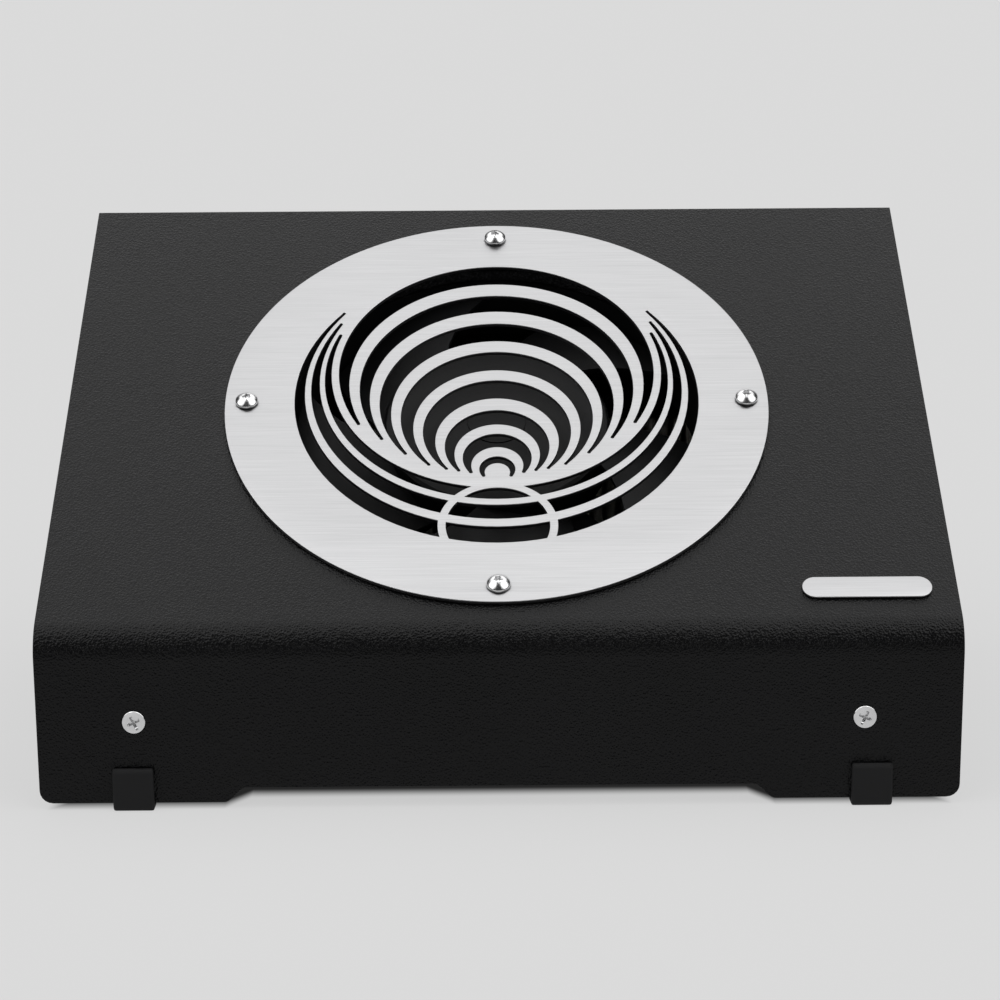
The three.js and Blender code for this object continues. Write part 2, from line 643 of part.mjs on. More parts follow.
function filterGasket() {
  const { x, bottom, top, faceIn } = CASSETTE;
  const middle = (bottom + top) / 2;
  const outline = roundedRectangle(0, middle, 2 * x + 9, top - bottom + 9, 3);
  const hole = roundedRectangle(0, middle, 2 * x + 2 * GAP, top - bottom + 2 * GAP, 0.2, 1);
  return cut(prismY(outline, PANEL_OUT + GAP, faceIn - GAP), prismY(hole, PANEL_OUT - 1, faceIn + 1));
}

function filterPull() {
  const { bottom, top, faceOut } = CASSETTE;
  const z = (bottom + top) / 2;
  const outline = roundedRectangle(0, z, 44, 14, 3);
  const grip = prismY(outline, faceOut + GAP, faceOut + 13);
  const scoop = prismY(roundedRectangle(0, z - 6, 36, 14, 3), faceOut + 3, faceOut + 10);
  return cut(grip, scoop);
}

// ---------------------------------------------------------------- electrics
function powerInlet() {
  const flange = prism(roundedRectangle(0, 0, 50, 22.5, 4), GAP, GAP + 3);
  const body = box([-13.7, 13.7], [-10, 10], [-22, 1]);
  const recess = prism([
    v2(-11.2, -8), v2(11.2, -8), v2(11.2, 4), v2(7.5, 8), v2(-7.5, 8), v2(-11.2, 4),
  ], -13, 5);
  const pins = [[-7, -2], [7, -2], [0, 2]].map(([x, y]) => box([x - 1, x + 1], [y - 2, y + 2], [-14, 0]));
  const tabs = [-7, 0, 7].map((x) => box([x - 2.4, x + 2.4], [-0.4, 0.4], [-30, -21]));
  const screwHoles = [-1, 1].map((side) => countersunkHole(M3, 3)
    .translate(side * INLET.screwX, 0, GAP + 3));
  return onRear(join(cut(join(flange, body), recess, ...screwHoles), ...pins, ...tabs), INLET.x, INLET.z);
}

function inletScrew(side) {
  const screw = countersunkScrew(M3, 8, 0.3 + side).translate(side * INLET.screwX, 0, GAP + 3);
  return onRear(screw, INLET.x, INLET.z);
}

function switchBody() {
  const bezel = prism(roundedRectangle(0, 0, 15.2, 21.6, 1.2), GAP, 2);
  const body = box([-6.3, 6.3], [-9.4, 9.4], [-16, 1]);
  const well = box([-5.2, 5.2], [-8.6, 8.6], [-9, 4]);
  const tabs = [-6, 0].map((y) => box([-2.4, 2.4], [y - 0.4, y + 0.4], [-24, -15]));
  return onRear(join(cut(join(bezel, body), well), ...tabs), SWITCH.x, SWITCH.z);
}

// The rocker is a shallow V with a round belly, tipped to one side about a pivot at height -2.
function switchRocker() {
  const reach = 8.2;
  const belly = arc(0, 0, reach, -0.35, -Math.PI + 0.35, 8);
  const profile = [v2(reach - 0.2, 3.4), v2(0, 2.2), v2(-reach + 0.2, 3.4), ...belly.reverse()]
    .map((point) => v2(point.x, Math.max(point.y, -5)).rotateAround(v2(0, 0), -SWITCH.tilt));
  const body = prism(profile, -4.8, 4.8);
  const upright = new THREE.Matrix4().makeBasis(
    new THREE.Vector3(0, 1, 0), new THREE.Vector3(0, 0, 1), new THREE.Vector3(1, 0, 0));
  return onRear(body.applyMatrix4(upright).translate(0, 0, -1.5), SWITCH.x, SWITCH.z);
}

function speedControl() {
  const body = rod(8, -12, -SHEET - GAP, 32);
  const bush = rod(3.5, -3, 4, 24);
  const bore = rod(2.5, -6, 5, 20);
  const legs = [-5, 0, 5].map((x) => box([x - 0.6, x + 0.6], [-12, -4], [-9, -8]));
  return onRear(join(cut(join(body, bush), bore), ...legs), KNOB.x, KNOB.z);
}

function speedNut() {
  return onRear(nut(10, 2, 3.8).translate(0, 0, 2 + GAP), KNOB.x, KNOB.z);
}

function speedShaft() {
  const profile = [v2(0, -5.5), v2(2.2, -5.5), v2(2.2, 4.4), v2(3, 4.4), v2(3, 12), v2(0, 12)];
  return onRear(turned(profile, 20), KNOB.x, KNOB.z);
}

function speedKnob() {
  const flutes = 14;
  const crest = 10.9;
  const groove = 10.1;
  const outline = [];
  for (let i = 0; i < flutes * 2; i += 1) {
    const radius = i % 2 ? groove : crest;
    const angle = (i * Math.PI) / flutes;
    outline.push(v2(radius * Math.cos(angle), radius * Math.sin(angle)));
  }
  const grip = prism(outline, 3, 14.5);
  const skirt = cone(12, 11.4, 3, 5, 28);
  const socket = turned([v2(0, 2), v2(6.4, 2), v2(6.4, 4.7), v2(3.3, 4.7), v2(3.3, 12.4), v2(0, 12.4)], 20);
  const pointer = box([-0.6, 0.6], [3, 12], [14, 16]);
  return onRear(cut(join(grip, skirt), socket, pointer).rotateZ(KNOB.turn), KNOB.x, KNOB.z);
}

function controlBoard() {
  const board = box([-18, 18], [-16, 16], [-12 - GAP - 1.6, -12 - GAP]);
  const face = -12 - GAP - 1.5;
  const parts = [
    rod(5, face - 12, face, 20).translate(-10, -8, 0),
    rod(4, face - 9, face, 20).translate(10, -9, 0),
    box([-14, -2], [5, 13], [face - 7, face]),
    box([4, 14], [4, 12], [face - 8, face]),
    box([-3, 4], [-6, -1], [face - 3, face]),
  ];
  return onRear(join(board, ...parts), KNOB.x, KNOB.z);
}

function powerSupply() {
  const z = BASE_Z + CHASSIS_SHEET + GAP;
  const shell = box([-143, -98], [-55, 36], [z, z + 28]);
  const vents = [];
  for (let i = 0; i < 7; i += 1) {
    vents.push(box([-135, -106], [-44 + 10 * i, -40 + 10 * i], [z + 26.5, z + 30]));
  }
  const terminals = box([-134, -107], [35, 39], [z + 8, z + 20]);
  return join(cut(shell, ...vents), terminals);
}

function cable(radius, ...stops) {
  const points = stops.map((stop) => new THREE.Vector3(...stop));
  const extrudePath = new THREE.CatmullRomCurve3(points, false, "centripetal");
  const outline = new THREE.Shape(circle(0, 0, radius, 8));
  const steps = 3 * (stops.length - 1);
  return new THREE.ExtrudeGeometry(outline, { steps, extrudePath, bevelEnabled: false });
}

function inletCable() {
  return cable(2.2, [115, 54, 44], [115, 46, 36], [100, 42, 24], [60, 40, 21], [-60, 40, 21], [-88, 42, 22],
    [-104, 50, 30], [-114, 58, 34]);
}

function switchCable() {
  return cable(2, [-118, 58.5, 42], [-122, 52, 43], [-122, 45, 36], [-120, 40.5, 32]);
}

function supplyCable() {
  return cable(1.6, [-112, 41, 34], [-106, 46, 42], [-102, 52, 56], [-108, 58, 66], [-110, 62, 72]);
}

function fanCable() {
  return cable(1.6, [-108, 58, 90], [-98, 50, 94], [-80, 42, 90], [-50, 34, 86], [-30, 27, 86],
    [-22, 24, 88.4]);
}

// ---------------------------------------------------------------- materials
const MATERIALS = {
  powderCoat: [0x232325, 0.62, 0.1],
  brushedSteel: [0xd2d3d4, 0.32, 1],
  polishedSteel: [0xdadcde, 0.14, 1],
  zincSteel: [0xa9adb0, 0.4, 1],
  blackRubber: [0x151515, 0.85, 0],
  foam: [0x202022, 0.95, 0],
  blackPlastic: [0x1d1d1f, 0.55, 0],
  rotorPlastic: [0x2b2b2d, 0.5, 0],
  copper: [0xa8683a, 0.5, 0.8],
  paperMedia: [0xe9e6da, 0.9, 0],
  carbon: [0x111111, 0.95, 0],
  boardGreen: [0x1f5a38, 0.6, 0],
  brass: [0xb59a54, 0.35, 1],
};

function material(name) {
  const [color, roughness, metalness] = MATERIALS[name];
  return new THREE.MeshStandardMaterial({ color, roughness, metalness, flatShading: true });
}

// ---------------------------------------------------------------- assembly
const extractor = new THREE.Group();
extractor.name = "solder_fume_extractor";

function add(name, finish, geometry) {
  const mesh = new THREE.Mesh(geometry, material(finish));
  mesh.name = name;
  extractor.add(mesh);
}

const LEFT = -1;
const RIGHT = 1;
const SIDES = [["left", LEFT], ["right", RIGHT]];

add("cover", "powderCoat", cover());
add("chassis", "powderCoat", chassis());
add("rear_panel", "powderCoat", rearPanel());
add("grille_plate", "brushedSteel", grillePlate());
add("badge", "brushedSteel", badge());
["right", "top", "left", "bottom"].forEach((place, i) => {
  add(`grille_screw_${place}`, "polishedSteel", grilleScrew(i));
  add(`grille_nut_${place}`, "zincSteel", grilleNut(i));
});
SIDES.forEach(([name, side]) => {
  add(`foot_front_${name}`, "blackRubber", foot(FOOT[name], FRONT_Y, -1));
  add(`foot_rear_${name}`, "blackRubber", foot(FOOT[name], PANEL_OUT, 1));
  add(`front_screw_${name}`, "polishedSteel", frontScrew(side, side > 0 ? 1.15 : 0.45));
  add(`front_nut_${name}`, "zincSteel", frontNut(side));
  add(`rear_screw_upper_${name}`, "zincSteel", rearScrew(side, REAR_SCREW.high));
  add(`rear_screw_lower_${name}`, "zincSteel", rearScrew(side, REAR_SCREW.low));
});

add("fan_frame", "blackPlastic", fanFrame());
add("fan_motor", "copper", fanMotor());
add("fan_rotor", "rotorPlastic", fanRotor());
add("fan_shaft", "zincSteel", fanShaft());
add("fan_bearing_lower", "zincSteel", fanBearing(FAN_BOTTOM + 2.5));
add("fan_bearing_upper", "zincSteel", fanBearing(FAN.hubTop - 9.5));
add("fan_gasket", "foam", fanGasket());
[1, 2, 3, 4].forEach((number) => add(`fan_screw_${number}`, "zincSteel", fanScrew(number - 1)));

add("filter_frame", "blackPlastic", filterFrame());
add("filter_media", "paperMedia", pleatedMedia());
add("carbon_pad", "carbon", carbonPad());
add("filter_gasket", "foam", filterGasket());
add("filter_pull", "blackPlastic", filterPull());

add("power_inlet", "blackPlastic", powerInlet());
SIDES.forEach(([name, side]) => add(`inlet_screw_${name}`, "zincSteel", inletScrew(side)));
add("switch_body", "blackPlastic", switchBody());
add("switch_rocker", "blackPlastic", switchRocker());
add("speed_control", "zincSteel", speedControl());
add("speed_nut", "zincSteel", speedNut());
add("speed_shaft", "brass", speedShaft());
add("speed_knob", "blackPlastic", speedKnob());
add("control_board", "boardGreen", controlBoard());
add("power_supply", "zincSteel", powerSupply());
add("inlet_cable", "blackPlastic", inletCable());
add("switch_cable", "blackPlastic", switchCable());
add("supply_cable", "blackPlastic", supplyCable());
add("fan_cable", "blackPlastic", fanCable());

// The origin is the middle of the bounding box's floor.
const bounds = new THREE.Box3().setFromObject(extractor, true);
const middle = bounds.getCenter(new THREE.Vector3());
extractor.children.forEach((mesh) => mesh.geometry.translate(-middle.x, -middle.y, -bounds.min.z));

export default extractor;
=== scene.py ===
"""Looks for the tabletop solder fume extractor: materials, fine pieces, light and camera."""
import json
import math

import bmesh
import bpy
from mathutils import Matrix, Vector


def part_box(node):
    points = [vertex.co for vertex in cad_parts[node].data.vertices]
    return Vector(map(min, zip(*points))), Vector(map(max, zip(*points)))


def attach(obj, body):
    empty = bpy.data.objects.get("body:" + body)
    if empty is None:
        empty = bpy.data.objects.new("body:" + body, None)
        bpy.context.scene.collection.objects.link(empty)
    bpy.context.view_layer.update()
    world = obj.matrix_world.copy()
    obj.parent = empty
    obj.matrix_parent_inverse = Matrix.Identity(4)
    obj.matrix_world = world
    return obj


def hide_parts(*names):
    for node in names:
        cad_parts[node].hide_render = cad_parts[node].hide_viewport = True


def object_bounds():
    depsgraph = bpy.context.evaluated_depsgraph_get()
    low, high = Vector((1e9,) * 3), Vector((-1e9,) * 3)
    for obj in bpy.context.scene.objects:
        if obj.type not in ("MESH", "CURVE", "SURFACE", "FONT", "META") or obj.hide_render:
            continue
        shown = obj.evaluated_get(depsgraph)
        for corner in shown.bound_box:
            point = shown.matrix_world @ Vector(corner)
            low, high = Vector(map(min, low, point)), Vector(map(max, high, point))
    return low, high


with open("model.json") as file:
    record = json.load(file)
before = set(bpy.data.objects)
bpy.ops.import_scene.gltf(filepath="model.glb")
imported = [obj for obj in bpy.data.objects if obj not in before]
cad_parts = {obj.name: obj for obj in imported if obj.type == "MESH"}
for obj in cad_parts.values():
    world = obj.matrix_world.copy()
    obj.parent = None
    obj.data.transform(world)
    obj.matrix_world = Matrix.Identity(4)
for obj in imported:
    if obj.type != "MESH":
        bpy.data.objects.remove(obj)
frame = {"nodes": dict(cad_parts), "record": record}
CAD_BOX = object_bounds()
NODES = frame["nodes"]
MM = 0.001

# ---------------------------------------------------------------- driving dimensions, in millimetres
SLOPE = math.radians(32)
PLATE_RADIUS = 95
PLATE_THICKNESS = 1.5
PLATE_EDGE = 0.18
SCREW_CIRCLE = 87.4
PLATE_HOLE = 2.25
# Each slot lies between two circles that share a pair of rounded tips: where its outer and inner
# circle cross the plate's centre line, and where its tips are.
UPPER_SLOTS = [
    (71.3, 61.5, 48.0, -11.5),
    (55.1, 46.5, 39.8, -19.0),
    (39.9, 30.6, 31.5, -26.3),
    (24.8, 15.3, 23.4, -31.7),
    (10.0, 0.8, 17.4, -33.7),
    (-5.2, -12.3, 13.2, -34.6),
    (-17.0, -23.5, 9.0, -35.5),
    (-28.1, -31.3, 4.7, -37.2),
]
LOWER_SLOTS = [
    (68.6, 61.3, 54.9, -45.9),
    (57.6, 51.2, 55.8, -40.1),
    (48.3, 43.1, 55.8, -34.1),
]
SLOT_TIP = 0.6
STRUT_Y = -60.5
STRUT_INNER = 17.4
STRUT_OUTER = 20.2
SLOT_STEPS = 72

BADGE_THICKNESS = 0.8
BADGE_EDGE = 0.2

M4_SHANK = 1.95
BUTTON_RADIUS = 3.9
BUTTON_HEIGHT = 2.4
BUTTON_RIM = 0.7
BUTTON_LENGTH = 8.2
SOCKET = 2.5
SOCKET_DEPTH = 1.3
SOCKET_TIP = 0.3
FLAT_HEAD_RADIUS = 3.78
FLAT_LENGTH = 9
CROSS_REACH = 2.1
CROSS_HALF = 0.48
CROSS_DEPTH = 1.3
ROUND_STEPS = 96
# How far each screw is turned, in radians.
BUTTON_TURNS = {"right": 0.5, "top": 0.9, "left": 1.3, "bottom": 1.7}
CROSS_TURNS = {"left": 0.45, "right": 1.15}

PLEATS = 32
PAPER_THICKNESS = 0.7
FOLD_STEPS = 6

EDGE_ROUND = 0.2
RUBBER_ROUND = 0.7
BEND_ANGLE = math.radians(28)

# ---------------------------------------------------------------- driving values of the studio
# Angles are in degrees. The camera's place and the floor's painted shade are in millimetres, and the
# floor's half width is in metres. The shade painted on the floor under the object starts SHADE_START
# inside the CAD box and is full at SHADE_DEEP. It moves out by LEG_SHADE from LEGS[0] to LEGS[1] off
# the middle, where the cover's edge comes lower.
CAMERA = {"lens": 92.39, "place": (-2.67, -888.86, 296.04), "pitch": 13.725, "yaw": -0.236, "roll": -0.362}
CEILING = {"elevation": 76, "reach": 34, "edge": 14, "strength": 1.6}
SOFTBOX = {"azimuth": 62, "elevation": 42, "reach": 24, "edge": 8, "strength": 1.7}
ROOM = 0.045
BACKDROP = 0.70
FLOOR_HALF = 60
FLOOR_GLOW = 0.575
FLOOR_ALBEDO = 0.105
SHADE_GLOW = 0.02
SHADE_ALBEDO = 0.01
SHADE_START = 11.5
SHADE_DEEP = 21
LEG_SHADE = 10
LEGS = (82, 90)


# ---------------------------------------------------------------- node helpers
def new_material(name):
    """A node material and its principled shader."""
    material = bpy.data.materials.new(name)
    material.use_nodes = True
    return material, material.node_tree.nodes["Principled BSDF"]


def add_node(tree, kind, inputs=None, **settings):
    """A new node with its settings made and its inputs set or linked; returns the node."""
    node = tree.nodes.new("ShaderNode" + kind)
    for key, value in settings.items():
        setattr(node, key, value)
    for key, value in (inputs or {}).items():
        if isinstance(value, bpy.types.NodeSocket):
            tree.links.new(value, node.inputs[key])
        else:
            node.inputs[key].default_value = value
    return node


def place(tree):
    """Where a point is on its own piece, in metres."""
    return add_node(tree, "TexCoord").outputs["Object"]


def noise(tree, scale, detail=2.0, roughness=0.5, vector=None, distortion=0.0):
    """A noise pattern, as a number from about 0.3 to 0.7."""
    node = add_node(tree, "TexNoise", {
        "Vector": vector or place(tree),
        "Scale": scale,
        "Detail": detail,
        "Roughness": roughness,
        "Distortion": distortion,
    })
    return node.outputs["Fac"]


def cells(tree, scale, feature="F1"):
    """Distance to the nearest of many scattered points: a grain of round cells."""
    node = add_node(tree, "TexVoronoi", {"Vector": place(tree), "Scale": scale}, feature=feature)
    if feature == "SMOOTH_F1":
        node.inputs["Smoothness"].default_value = 0.6
    return node.outputs["Distance"]


def spread(tree, value, low, high, start=0.3, end=0.7):
    """The value taken from start..end to low..high."""
    node = add_node(tree, "MapRange", {
        "Value": value,
        "From Min": start,
        "From Max": end,
        "To Min": low,
        "To Max": high,
    })
    return node.outputs["Result"]


def blend_colours(tree, factor, first, second):
    """From the first colour to the second as the factor goes from 0 to 1."""
    node = add_node(tree, "ValToRGB", {"Fac": factor})
    node.color_ramp.elements[0].color = (*first, 1)
    node.color_ramp.elements[1].color = (*second, 1)
    return node.outputs["Color"]


def bump(tree, height, depth, strength=1.0, normal=None):
    """The height pattern as relief of the given depth in millimetres."""
    inputs = {"Height": height, "Strength": strength, "Distance": depth * MM}
    if normal:
        inputs["Normal"] = normal
    return add_node(tree, "Bump", inputs).outputs["Normal"]


def connect(tree, shader, **sockets):
    """Links patterns to the shader's sockets, named with underscores for spaces."""
    for key, value in sockets.items():
        tree.links.new(value, shader.inputs[key.replace("_", " ")])


def set_values(shader, **values):
    """Sets the shader's constant values on its own sockets."""
    for key, value in values.items():
        shader.inputs[key.replace("_", " ")].default_value = value


def stretched(tree, along, across):
    """Coordinates for streaks along X: so many per metre along it and across it."""
    node = add_node(tree, "Mapping", {"Vector": place(tree), "Scale": (along, across, across)})
    return node.outputs["Vector"]


# ---------------------------------------------------------------- materials
def powder_coat():
    """Black fine-wrinkle powder coat: a leathery grain of about 0.6 mm with small bright facets."""
    material, shader = new_material("powder_coat")
    tree = material.node_tree
    wrinkle = cells(tree, 1500, "SMOOTH_F1")
    grit = noise(tree, 2600, detail=3.0)
    cloud = noise(tree, 14, detail=3.0)
    shade = spread(tree, cloud, 0, 1)
    colour = blend_colours(tree, shade, (0.0022, 0.0022, 0.0024), (0.0036, 0.0036, 0.0039))
    grain = bump(tree, wrinkle, 0.3, 0.75)
    connect(
        tree, shader,
        Base_Color=colour,
        Roughness=spread(tree, grit, 0.2, 0.34),
        Normal=bump(tree, grit, 0.06, 0.5, grain),
    )
    set_values(shader, Specular_IOR_Level=0.165)
    return material


def brushed_steel():
    """Stainless steel brushed along X: fine long scratches in colour, roughness and relief."""
    material, shader = new_material("brushed_steel")
    tree = material.node_tree
    fine = noise(tree, 1.0, detail=4.0, roughness=0.65, vector=stretched(tree, 30, 5200))
    broad = noise(tree, 1.0, detail=2.0, vector=stretched(tree, 9, 700))
    cloud = noise(tree, 18, detail=2.0)
    colour = blend_colours(tree, spread(tree, fine, 0, 1), (0.365, 0.365, 0.37), (0.46, 0.46, 0.465))
    scratch = bump(tree, fine, 0.012, 0.5)
    connect(
        tree, shader,
        Base_Color=colour,
        Roughness=spread(tree, cloud, 0.28, 0.36),
        Normal=bump(tree, broad, 0.02, 0.2, scratch),
    )
    set_values(shader, Metallic=1.0, Anisotropic=0.5)
    tangent = add_node(tree, "Tangent", direction_type="UV_MAP")
    tree.links.new(tangent.outputs["Tangent"], shader.inputs["Tangent"])
    return material


def polished_steel():
    """Polished stainless screw heads: near mirror with faint turning marks."""
    material, shader = new_material("polished_steel")
    tree = material.node_tree
    marks = noise(tree, 900, detail=3.0)
    shade = spread(tree, noise(tree, 300), 0, 1)
    colour = blend_colours(tree, shade, (0.66, 0.66, 0.665), (0.74, 0.74, 0.745))
    connect(
        tree, shader,
        Base_Color=colour,
        Roughness=spread(tree, marks, 0.14, 0.24),
        Normal=bump(tree, marks, 0.01, 0.15),
    )
    set_values(shader, Metallic=1.0)
    return material


def zinc_steel():
    """Bright zinc plating: soft cloudy spangle with fine pits."""
    material, shader = new_material("zinc_steel")
    tree = material.node_tree
    spangle = cells(tree, 420)
    pits = noise(tree, 3000, detail=2.0)
    colour = blend_colours(tree, spread(tree, spangle, 0, 1, 0.1, 0.8), (0.5, 0.52, 0.55), (0.68, 0.69, 0.7))
    connect(
        tree, shader,
        Base_Color=colour,
        Roughness=spread(tree, noise(tree, 240), 0.26, 0.46),
        Normal=bump(tree, pits, 0.02, 0.25),
    )
    set_values(shader, Metallic=1.0)
    return material


def rubber():
    """Matt black moulded rubber with a fine powdery surface."""
    material, shader = new_material("rubber")
    tree = material.node_tree
    bloom = noise(tree, 90, detail=4.0)
    skin = noise(tree, 4200, detail=2.0)
    colour = blend_colours(tree, spread(tree, bloom, 0, 1), (0.0055, 0.0055, 0.006), (0.0095, 0.0095, 0.01))
    connect(
        tree, shader,
        Base_Color=colour,
        Roughness=spread(tree, bloom, 0.62, 0.78),
        Normal=bump(tree, skin, 0.03, 0.3),
    )
    set_values(shader, Specular_IOR_Level=0.25)
    return material


def foam():
    """Open-cell black foam: pores of about a millimetre."""
    material, shader = new_material("foam")
    tree = material.node_tree
    pores = cells(tree, 950)
    small = cells(tree, 2300)
    shade = spread(tree, pores, 0, 1, 0.1, 0.7)
    colour = blend_colours(tree, shade, (0.03, 0.03, 0.032), (0.006, 0.006, 0.0065))
    deep = bump(tree, pores, 0.5, 0.8)
    connect(
        tree, shader,
        Base_Color=colour,
        Roughness=spread(tree, small, 0.8, 1.0),
        Normal=bump(tree, small, 0.2, 0.5, deep),
    )
    set_values(shader, Specular_IOR_Level=0.2)
    return material


def moulded_plastic(name, dark, light, grain_depth):
    """Moulded plastic with a spark-eroded grain."""
    material, shader = new_material(name)
    tree = material.node_tree
    grain = noise(tree, 3400, detail=3.0)
    cloud = noise(tree, 40, detail=3.0)
    connect(
        tree, shader,
        Base_Color=blend_colours(tree, spread(tree, cloud, 0, 1), dark, light),
        Roughness=spread(tree, grain, 0.38, 0.6),
        Normal=bump(tree, grain, grain_depth, 0.35),
    )
    set_values(shader, Specular_IOR_Level=0.2)
    return material


def black_plastic():
    """The black plastic of the fan's frame, the cassette, the inlet, the switch and the knob."""
    return moulded_plastic("black_plastic", (0.004, 0.004, 0.0043), (0.007, 0.007, 0.0075), 0.05)


def rotor_plastic():
    """The dark, nearly smooth plastic of the fan's rotor."""
    return moulded_plastic("rotor_plastic", (0.0025, 0.0025, 0.0027), (0.0045, 0.0045, 0.005), 0.02)


def winding_copper():
    """Enamelled copper windings: fine turns of wire round the motor's poles."""
    material, shader = new_material("winding_copper")
    tree = material.node_tree
    turns = add_node(tree, "TexWave", {
        "Vector": place(tree),
        "Scale": 620,
        "Distortion": 1.2,
        "Detail": 2.0,
    }, bands_direction="Z")
    shade = noise(tree, 160, detail=2.0)
    colour = blend_colours(tree, spread(tree, shade, 0, 1), (0.3, 0.075, 0.02), (0.52, 0.17, 0.06))
    connect(
        tree, shader,
        Base_Color=colour,
        Roughness=spread(tree, shade, 0.25, 0.42),
        Normal=bump(tree, turns.outputs["Fac"], 0.25, 0.7),
    )
    set_values(shader, Metallic=0.85)
    return material


def filter_paper():
    """Off-white pleated glass-fibre paper with matted fibres."""
    material, shader = new_material("filter_paper")
    tree = material.node_tree
    fibres = noise(tree, 1500, detail=5.0, roughness=0.7, distortion=2.5)
    stain = noise(tree, 30, detail=4.0)
    colour = blend_colours(tree, spread(tree, stain, 0, 1), (0.74, 0.71, 0.62), (0.84, 0.82, 0.76))
    connect(
        tree, shader,
        Base_Color=colour,
        Roughness=spread(tree, fibres, 0.82, 1.0),
        Normal=bump(tree, fibres, 0.15, 0.5),
    )
    set_values(shader, Specular_IOR_Level=0.2)
    return material


def carbon():
    """Foam pad loaded with carbon granules: black, with glinting crumbs."""
    material, shader = new_material("carbon")
    tree = material.node_tree
    crumbs = cells(tree, 640)
    dust = noise(tree, 2400, detail=3.0)
    shade = spread(tree, crumbs, 0, 1, 0.1, 0.7)
    colour = blend_colours(tree, shade, (0.014, 0.014, 0.015), (0.003, 0.003, 0.003))
    connect(
        tree, shader,
        Base_Color=colour,
        Roughness=spread(tree, dust, 0.55, 0.95),
        Normal=bump(tree, dust, 0.1, 0.4, bump(tree, crumbs, 0.7, 0.8)),
    )
    return material


def brass():
    """Turned brass with rings left by the tool."""
    material, shader = new_material("brass")
    tree = material.node_tree
    tone = noise(tree, 220, detail=2.0)
    marks = noise(tree, 3000, detail=2.0)
    colour = blend_colours(tree, spread(tree, tone, 0, 1), (0.58, 0.4, 0.14), (0.72, 0.53, 0.22))
    connect(
        tree, shader,
        Base_Color=colour,
        Roughness=spread(tree, tone, 0.22, 0.38),
        Normal=bump(tree, marks, 0.02, 0.2),
    )
    set_values(shader, Metallic=1.0)
    return material


def circuit_board():
    """Green solder mask over faint copper tracks."""
    material, shader = new_material("circuit_board")
    tree = material.node_tree
    tracks = cells(tree, 260, "DISTANCE_TO_EDGE")
    mask = noise(tree, 700, detail=2.0)
    shade = spread(tree, tracks, 0, 1, 0.02, 0.06)
    colour = blend_colours(tree, shade, (0.03, 0.16, 0.06), (0.008, 0.075, 0.03))
    connect(
        tree, shader,
        Base_Color=colour,
        Roughness=spread(tree, mask, 0.25, 0.4),
        Normal=bump(tree, tracks, 0.08, 0.4),
    )
    return material


def cable_sheath():
    """Matt black cable sheath with slight unevenness along it."""
    material, shader = new_material("cable_sheath")
    tree = material.node_tree
    ripple = noise(tree, 420, detail=3.0)
    shade = spread(tree, noise(tree, 60), 0, 1)
    colour = blend_colours(tree, shade, (0.009, 0.009, 0.0095), (0.016, 0.016, 0.017))
    connect(
        tree, shader,
        Base_Color=colour,
        Roughness=spread(tree, ripple, 0.5, 0.68),
        Normal=bump(tree, ripple, 0.08, 0.3),
    )
    return material


FINISHES = {
    "powder_coat": powder_coat(),
    "brushed_steel": brushed_steel(),
    "polished_steel": polished_steel(),
    "zinc_steel": zinc_steel(),
    "rubber": rubber(),
    "foam": foam(),
    "black_plastic": black_plastic(),
    "rotor_plastic": rotor_plastic(),
    "winding_copper": winding_copper(),
    "filter_paper": filter_paper(),
    "carbon": carbon(),
    "brass": brass(),
    "circuit_board": circuit_board(),
    "cable_sheath": cable_sheath(),
}


# ---------------------------------------------------------------- carried-over CAD nodes
def soften(piece, width):
    """Rounds a CAD node's edges by the width in millimetres and shades its bends smoothly."""
    mesh = piece.data
    if "custom_normal" in mesh.attributes:
        mesh.attributes.remove(mesh.attributes["custom_normal"])
    mesh.polygons.foreach_set("use_smooth", [True] * len(mesh.polygons))
    weld = piece.modifiers.new("weld", "WELD")
    weld.merge_threshold = 0.002 * MM
    edges = piece.modifiers.new("edges", "BEVEL")
    edges.width = width * MM
    edges.segments = 2
    edges.limit_method = "ANGLE"
    edges.angle_limit = BEND_ANGLE
    edges.harden_normals = True
    normals = piece.modifiers.new("normals", "WEIGHTED_NORMAL")
    normals.keep_sharp = True


SLOTS = {part["node"]: part["material_slot"] for part in frame["record"]["subparts"]}


def dress_nodes():
    """Every carried-over node gets its slot's material and softened edges."""
    for name, piece in NODES.items():
        if piece.hide_render:
            continue
        slot = SLOTS[name]
        piece.data.materials.clear()
        piece.data.materials.append(FINISHES[slot])
        soften(piece, RUBBER_ROUND if slot == "rubber" else EDGE_ROUND)


# ---------------------------------------------------------------- new pieces
def finished(name, mesh, finish, body, *nodes):
    """A mesh in the object's frame becomes a piece that rides on a body and stands for nodes."""
    piece = bpy.data.objects.new(name, mesh)
    bpy.context.scene.collection.objects.link(piece)
    mesh.materials.clear()
    mesh.materials.append(FINISHES[finish])
    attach(piece, body)
    if nodes:
        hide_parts(*nodes)
    return piece


def centre_of(name):
    """The middle of a CAD node's box."""
    low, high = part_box(name)
    return (low + high) / 2


def circle_on_axis(top, x, y):
    """The circle centred on the Y axis that crosses it at top and passes through (x, y)."""
    radius = (x * x + (top - y) ** 2) / (2 * (top - y))
    return radius, top - radius


def arc_at(x, y, radius, start, end, steps):
    """Points along an arc about (x, y), both ends included."""
    points = []
    for i in range(steps + 1):
        angle = start + (end - start) * i / steps
        points.append((x + radius * math.cos(angle), y + radius * math.sin(angle)))
    return points


